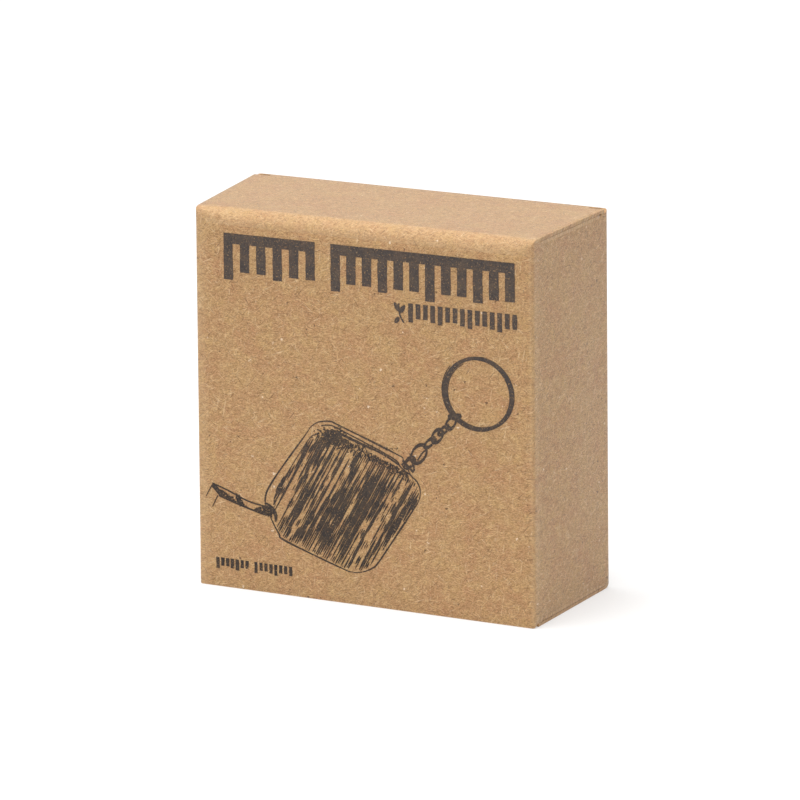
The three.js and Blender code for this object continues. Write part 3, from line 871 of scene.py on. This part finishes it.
def metal_material(name, colour, dull, scale=3):
    """Plated or blued metal: fine scratches and a little uneven tarnish."""
    paint = Paint(name, Metallic=1.0)
    tarnish = paint.grain(0.7, 4, 0.6)
    scratch = paint.grain(scale, 3, 0.7, (3, 6, 1))
    darker = srgb(*(c * 0.8 for c in colour))
    shade = paint.mix(paint.between(tarnish, 0.4, 0.75, 0.0, 0.6), srgb(*colour), darker)
    rough = paint.math("ADD", paint.between(scratch, 0.35, 0.7, dull, dull + 0.14),
                       paint.between(tarnish, 0.4, 0.7, 0.0, 0.10))
    return paint.done(shade, paint.bump(scratch, 0.012, 0.4), Roughness=rough)


def plastic_material(name, colour, dull):
    """Moulded plastic with a fine spark-eroded grain."""
    paint = Paint(name, **{"Specular IOR Level": 0.4})
    fine = paint.grain(5, 2, 0.5)
    cloud = paint.grain(0.2, 3, 0.5)
    shade = paint.mix(paint.between(cloud, 0.35, 0.7), srgb(*colour), srgb(*(c * 0.9 for c in colour)))
    return paint.done(shade, paint.bump(fine, 0.02, 0.5),
                      Roughness=paint.between(fine, 0.3, 0.7, dull, dull + 0.15))


def enamel_material(name, marked):
    """Yellow enamel. On the blade it carries a millimetre scale along both edges; on the coil, fine turns."""
    paint = Paint(name, **{"Specular IOR Level": 0.5, "Coat Weight": 0.3, "Coat Roughness": 0.2})
    wear = paint.grain(0.8, 4, 0.65)
    colour = paint.mix(paint.between(wear, 0.4, 0.72, 0.0, 0.5), srgb(243, 199, 46), srgb(226, 172, 30))
    height = wear
    if marked:
        parts = paint.add("SeparateXYZ", {0: paint.millimetres()}).outputs
        middle, half = middle_mm("tape_blade")
        from_middle = paint.math("ABSOLUTE", paint.math("SUBTRACT", parts[1], middle.y))
        inward = paint.math("SUBTRACT", half.y, from_middle)
        ink = 0.0
        for every, reach, thick in ((1, 1.1, 0.09), (5, 1.6, 0.11), (10, 2.3, 0.14)):
            line = paint.between(paint.math("PINGPONG", parts[0], every / 2), thick, thick - 0.03)
            line = paint.math("MULTIPLY", line, paint.math("LESS_THAN", inward, reach))
            ink = paint.math("MAXIMUM", ink, line)
        colour = paint.mix(ink, colour, srgb(38, 34, 32))
    else:
        height = paint.grain((0.4, 9, 0.4), 2, 0.5)
        colour = paint.mix(paint.between(height, 0.5, 0.65, 0.0, 0.4), colour, srgb(150, 112, 28))
    return paint.done(colour, paint.bump(height, 0.02, 0.4),
                      Roughness=paint.between(wear, 0.35, 0.7, 0.28, 0.42))


BLADE_THICK = 0.16
BAMBOO = bamboo_material()
STEEL = metal_material("steel", (206, 204, 199), 0.16)
SPRING_STEEL = metal_material("spring_steel", (112, 117, 128), 0.24, (1, 1, 9))
BLACK_PLASTIC = plastic_material("black_plastic", (30, 30, 32), 0.45)
WHITE_PLASTIC = plastic_material("white_plastic", (216, 215, 208), 0.32)
BLADE_ENAMEL = enamel_material("tape_enamel", True)
COIL_ENAMEL = enamel_material("tape_enamel_edge", False)


# ---- the tape measure's outside

CASE_LOW, CASE_HIGH = box_mm("case_front")[0], box_mm("case_back")[1]
CASE_MIDDLE = (CASE_LOW + CASE_HIGH) / 2
CASE_HALF = (CASE_HIGH.x - CASE_LOW.x) / 2
CASE_CORNER, CASE_EDGE, CASE_DOME = 10.0, 3.4, 0.45
WORKS_RADIUS, WORKS_HALF = 17.3, 6  # the hollow for drum, coil and spring
MOUTH_LOW, MOUTH_HIGH = box_mm("mouth_plate")
SLOT_INSET, SEAT_ROOM = 0.8, 0.12
EYE_HIGH = box_mm("chain_eyelet")[1]
EYE_RING, EYE_WIRE = 2.2, 0.6
EYE = Vector((EYE_HIGH.x - EYE_RING - EYE_WIRE, CASE_MIDDLE.y, EYE_HIGH.z - EYE_RING - EYE_WIRE))
INWARD, UPWARD = Vector((-1, 0, -1)).normalized(), Vector((-1, 0, 1)).normalized()
LINK_LENGTH, LINK_WIDTH, LINK_WIRE = 6.2, 4.4, 0.55
LINK_ROLLS = (0, 84, -8, 82, 0)
LINK_LIFTS = (25, 0, 0, 0, 0)


def stack(name, rings, material, looped=False, smooth_angle=35):
    """A closed skin through rings of equally many points: its ends are capped, or joined to each other."""
    around = len(rings[0])
    bands = [range(k * around, (k + 1) * around) for k in range(len(rings))]
    faces = []
    for low, high in zip(bands, bands[1:] + (bands[:1] if looped else [])):
        faces += band(low, high)
    if not looped:
        faces += [tuple(bands[0]), tuple(bands[-1])]
    return turned_out(mesh_object(name, [p for ring in rings for p in ring], faces, material, smooth_angle))


def rounded(half_a, half_b, corner, steps=9):
    """The outline of a rounded rectangle about the origin."""
    points = []
    for quarter, (a, b) in enumerate(((1, 1), (-1, 1), (-1, -1), (1, -1))):
        for k in range(steps + 1):
            q = (quarter + k / steps) * pi / 2
            points.append((a * (half_a - corner) + corner * cos(q),
                           b * (half_b - corner) + corner * sin(q)))
    return points


def wire(name, line, material, side, across=LINK_WIRE, along=LINK_WIRE, closed=True, around=14):
    """Wire swept along a line of points. along is its half size on the side vector, across the other one."""
    rings = []
    count = len(line)
    for k, point in enumerate(line):
        before = line[k - 1] if k or closed else point
        after = line[(k + 1) % count] if k < count - 1 or closed else point
        way = (after - before).normalized()
        side = (side - way * side.dot(way)).normalized()
        other = way.cross(side)
        ring = []
        for n in range(around):
            q = tau * n / around
            ring.append(side * along * cos(q) + other * across * sin(q))
        if closed or 0 < k < count - 1:
            rings.append([point + p for p in ring])
        else:
            outer = -way if k == 0 else way
            ends = [[point + outer * across * step + p * size for p in ring]
                    for step, size in ((0.0, 1.0), (0.35, 0.9), (0.6, 0.5))]
            rings += reversed(ends) if k == 0 else ends
    return stack(name, rings, material, looped=closed, smooth_angle=50)


def circle(centre, radius, one, two, count=40):
    """Points round a circle in the plane of two unit vectors."""
    turns = [tau * k / count for k in range(count)]
    return [centre + one * radius * cos(q) + two * radius * sin(q) for q in turns]


def cut_away(made, *tools):
    """Cuts closed tool objects out of a piece, and removes the tools."""
    for tool in tools:
        change = made.modifiers.new("cut", "BOOLEAN")
        change.operation = "DIFFERENCE"
        change.solver = "EXACT"
        change.object = tool
    graph = bpy.context.evaluated_depsgraph_get()
    mesh = bpy.data.meshes.new_from_object(made.evaluated_get(graph))
    made.modifiers.clear()
    made.data = mesh
    mesh.shade_smooth()
    mesh.set_sharp_from_angle(angle=radians(35))


def case_half(name, seam, outer):
    """Half of the bamboo case: rounded edges, a slightly domed face, and the hollow for the works."""
    way = 1 if outer > seam else -1
    rings = []

    def ring(inset, y):
        corner = max(CASE_CORNER - inset, 0.35 * (CASE_HALF - inset))
        plan = rounded(CASE_HALF - inset, CASE_HALF - inset, corner)
        rings.append([(CASE_MIDDLE.x + a, y, CASE_MIDDLE.z + b) for a, b in plan])

    for inset, up in ((0.22, 0.0), (0.06, 0.08), (0.0, 0.24)):
        ring(inset, seam + up * way)
    for k in range(11):
        q = k / 10 * pi / 2
        ring(CASE_EDGE * (1 - cos(q)), outer - (CASE_DOME + CASE_EDGE * (1 - sin(q))) * way)
    for inset in (4.6, 6.2, 8.4, 11.0, 14.0, 17.0, 19.4):
        share = (CASE_HALF - inset) / (CASE_HALF - CASE_EDGE)
        ring(inset, outer - CASE_DOME * way * share ** 2)
    made = stack(name, rings, BAMBOO)

    works = [circle(CASE_MIDDLE + Y * y, WORKS_RADIUS, X, Z, 64) for y in (-WORKS_HALF, WORKS_HALF)]
    tools = [stack("tool", works, BAMBOO)]
    outside = CASE_LOW.x - 5
    for inset, reach in ((SLOT_INSET, CASE_LOW.x + 9), (-SEAT_ROOM, MOUTH_HIGH.x + 0.05)):
        low, high = MOUTH_LOW + (Y + Z) * inset, MOUTH_HIGH - (Y + Z) * inset
        plan = ((outside, low.z), (reach, low.z), (reach, high.z), (outside, high.z))
        tools.append(stack("tool", [[(x, y, z) for x, z in plan] for y in (low.y, high.y)], BAMBOO))
    eye_hole = [circle(EYE + INWARD * reach, EYE_WIRE + 0.1, UPWARD, Y, 20) for reach in (3.0, 10.2)]
    tools.append(stack("tool", eye_hole, BAMBOO))
    cut_away(made, *tools)
    for tool in tools:
        bpy.data.objects.remove(tool)
    finish_piece(made, "tape_measure", "bamboo", name.replace("bamboo_", ""))


def mouth_frame():
    """The steel frame round the slot: rounded corners, and edges eased on the outside."""
    middle, half = middle_mm("mouth_plate")
    inner, back = 1.1, 2 * half.x
    rings = []
    for inset, corner, x in ((0.15, 0.75, -0.02), (0.04, 0.86, 0.04), (0.0, 0.9, 0.15), (0.0, 0.9, back),
                             (inner, 0.35, back), (inner, 0.35, 0.15), (inner - 0.04, 0.39, 0.04),
                             (inner - 0.15, 0.5, -0.02)):
        plan = rounded(half.y - inset, half.z - inset, corner, 6)
        rings.append([(MOUTH_LOW.x + x, middle.y + u, middle.z + v) for u, v in plan])
    made = stack("mouth_frame", rings, STEEL, looped=True)
    finish_piece(made, "tape_measure", "steel", "mouth_plate")


def blade_and_hook():
    """The blade is flat at its riveted tip and hollow across further in; the hook is one bent strip."""
    low, high = box_mm("tape_blade")
    middle, half = middle_mm("tape_blade")
    flat_tip, settling, crown, chamfer = 3.5, 9, 0.5, 0.5

    def hollowed(x, z, y):
        return x, y, z + crown * eased((x - low.x - flat_tip) / settling) * ((y - middle.y) / half.y) ** 2

    def blade_span(sample):
        corner = max(0.0, chamfer - sample[4])
        return low.y + corner, high.y - corner

    blade = sheet("tape_blade_strip", trace((low.x, high.z), 0, [("line", high.x - low.x)]), blade_span,
                  hollowed, BLADE_ENAMEL, columns=20, rims=lambda s: (0.05, 0.05), thick=BLADE_THICK)
    finish_piece(blade, "blade", "tape_enamel", "tape_blade")

    hook_low, hook_high = box_mm("end_hook")
    gauge, bend, corner = 0.4, 0.65, 0.9
    top = high.z + gauge + 0.02
    rise = top - hook_low.z - bend
    run = hook_high.x - hook_low.x - bend
    total = rise + bend * pi / 2 + run

    def hook_span(sample):
        inset = round_off(corner, min(sample[4], total - sample[4]))
        return hook_low.y + inset, hook_high.y - inset

    step = 0.25
    tip = [("line", step)] * 4
    hook_line = tip + [("line", rise - 8 * step), ("line", 4 * step), ("fold", bend, 90),
                       ("line", run - 4 * step)] + tip
    hook = sheet("hook_strip", trace((hook_low.x, hook_low.z), 90, hook_line), hook_span,
                 lambda x, z, y: (x, y, z), STEEL, columns=14, rims=lambda s: (0.09, 0.09), thick=gauge)
    finish_piece(hook, "blade", "steel", "end_hook")

    foot = high.z - BLADE_THICK
    profile = [(0.25, foot - 0.34), (0.6, foot - 0.28), (0.86, foot - 0.12), (0.9, foot), (0.6, foot + 0.02),
               (0.6, top - 0.02), (0.98, top), (0.96, top + 0.12), (0.8, top + 0.27), (0.5, top + 0.38),
               (0.18, top + 0.42)]
    for node in ("hook_rivet_front", "hook_rivet_back"):
        spot = middle_mm(node)[0]
        rings = [circle(Vector((spot.x, spot.y, z)), radius, X, Y, 24) for radius, z in profile]
        finish_piece(stack(node.replace("hook_rivet", "domed_rivet"), rings, STEEL, smooth_angle=50),
                     "blade", "steel", node)


def screw_eye():
    """An eye of bent wire with its shank in the case's corner, and a small washer under it."""
    start = radians(9)
    turn = tau - 2 * start
    turns = [start + turn * k / 44 for k in range(45)]
    line = [EYE + (INWARD * cos(q) + UPWARD * sin(q)) * EYE_RING for q in turns]
    ring = wire("eye_ring", line, STEEL, Y, EYE_WIRE, EYE_WIRE, closed=False)
    finish_piece(ring, "tape_measure", "steel", "chain_eyelet")
    profile = ((EYE_RING - 0.35, 0.3), (EYE_RING - 0.2, 0.56), (EYE_RING + 0.3, 0.6), (4.15, 0.6), (4.2, 1.2),
               (4.28, 1.36), (4.4, 1.42), (4.72, 1.42), (4.86, 1.36), (4.9, 0.6), (9.6, 0.6), (9.8, 0.4))
    shank = [circle(EYE + INWARD * reach, radius, UPWARD, Y, 24) for reach, radius in profile]
    finish_piece(stack("eye_shank", shank, STEEL, smooth_angle=40), "tape_measure", "steel")


def chain():
    """Five oval links, a jump ring with its cut, and a two-turn split ring."""
    straight = (LINK_LENGTH - LINK_WIDTH) / 2
    radius = LINK_WIDTH / 2 - LINK_WIRE
    for index, (roll, lift) in enumerate(zip(LINK_ROLLS, LINK_LIFTS), 1):
        middle = middle_mm(f"chain_link_{index}")[0]
        roll, lift = radians(roll), radians(lift)
        along = Vector((-cos(lift), 0, sin(lift)))
        side = Y * cos(roll) + Y.cross(along) * sin(roll)
        line = []
        for end in (1, -1):
            for k in range(19):
                q = -pi / 2 + pi * k / 18
                line.append(middle + (along * (straight + radius * cos(q)) + side * radius * sin(q)) * end)
        made = wire(f"link_wire_{index}", line, STEEL, along.cross(side))
        finish_piece(made, f"link_{index}", "steel", f"chain_link_{index}")

    middle, half = middle_mm("jump_ring")
    cut = radians(4)
    turns = [pi / 2 + cut + (tau - 2 * cut) * k / 44 for k in range(45)]
    line = [middle + (X * cos(q) + Z * sin(q)) * (half.x - half.y) for q in turns]
    made = wire("jump_ring_wire", line, STEEL, Y, 0.5, 0.5, closed=False)
    finish_piece(made, "jump_ring", "steel", "jump_ring")

    middle, half = middle_mm("split_ring")
    size = half.y - 0.6
    droop = radians(20)
    flat = Vector((cos(droop), 0, sin(droop)))
    axis = Vector((-sin(droop), 0, cos(droop)))
    coils, pitch = 1.94, 1.22
    line = []
    for k in range(161):
        t = k / 160 - 0.5
        q = pi + t * coils * tau
        line.append(middle + (flat * cos(q) + Y * sin(q)) * size + axis * pitch * tanh(9 * t) / 2)
    made = wire("split_ring_wire", line, STEEL, axis, 0.62, 0.55, closed=False)
    finish_piece(made, "split_ring", "steel", "split_ring")


case_half("bamboo_case_front", box_mm("case_front")[1].y + 0.1, CASE_LOW.y)
case_half("bamboo_case_back", box_mm("case_back")[0].y - 0.1, CASE_HIGH.y)
mouth_frame()
blade_and_hook()
screw_eye()
chain()

HIDDEN = {"capsule_cup": BLACK_PLASTIC, "capsule_cover": BLACK_PLASTIC, "winding_post": STEEL,
          "tape_drum": WHITE_PLASTIC, "drum_flange": WHITE_PLASTIC, "power_spring": SPRING_STEEL,
          "tape_coil": COIL_ENAMEL}
for node, material in HIDDEN.items():
    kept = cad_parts[node]
    kept.data.materials.clear()
    kept.data.materials.append(material)


# ---- surroundings and camera

def surroundings():
    """A pale sky, a white floor and two lamps."""
    world = bpy.data.worlds.new("studio")
    bpy.context.scene.world = world
    world.use_nodes = True
    sky = world.node_tree.nodes["Background"].inputs
    sky["Color"].default_value = (1, 1, 1, 1)
    sky["Strength"].default_value = 0.33

    paint = Paint("studio_floor", **{"Base Color": (0.54, 0.54, 0.54, 1), "Roughness": 0.9,
                                     "Emission Color": (1, 1, 1, 1), "Emission Strength": 0.45})
    reach = 4000.0
    verts = [(-reach, -reach, -GAP), (reach, -reach, -GAP), (reach, reach, -GAP), (-reach, reach, -GAP)]
    mesh_object("studio_floor", verts, [(0, 1, 2, 3)], paint.material)

    for name, place, size, power in (("key", (-0.1, -0.1, 1.5), 0.9, 25.5),
                                     ("fill", (-0.9, -1.5, 0.7), 1.1, 4.3)):
        lamp = bpy.data.lights.new(name, "AREA")
        lamp.shape = "DISK"
        lamp.size = size
        lamp.energy = power
        holder = bpy.data.objects.new(name, lamp)
        holder.location = place
        aim = Vector((0, 0, HEIGHT * MM / 2)) - Vector(place)
        holder.rotation_euler = aim.to_track_quat("-Z", "Y").to_euler()
        bpy.context.scene.collection.objects.link(holder)


def camera(azimuth=28.1, elevation=14.32, roll=-0.72, distance=15.391, right_by=-0.0051, up_by=-0.0068):
    """The camera looks at the carton's middle; distances are in carton heights."""
    az, el, ro = (radians(v) for v in (azimuth, elevation, roll))
    height = HEIGHT * MM
    back = Vector((sin(az) * cos(el), -cos(az) * cos(el), sin(el)))
    right = Vector((cos(az), sin(az), 0))
    up = back.cross(right)
    across = right * cos(ro) + up * sin(ro)
    upward = up * cos(ro) - right * sin(ro)
    place = Vector((0, 0, height / 2)) + (back * distance + across * right_by + upward * up_by) * height
    lens = bpy.data.cameras.new("camera")
    lens.sensor_width = 36
    lens.lens = 270
    lens.clip_start = 0.01
    holder = bpy.data.objects.new("camera", lens)
    holder.matrix_world = Matrix.Translation(place) @ Matrix((across, upward, back)).transposed().to_4x4()
    bpy.context.scene.collection.objects.link(holder)
    bpy.context.scene.camera = holder
    bpy.context.scene.view_settings.view_transform = "Standard"


surroundings()
camera()
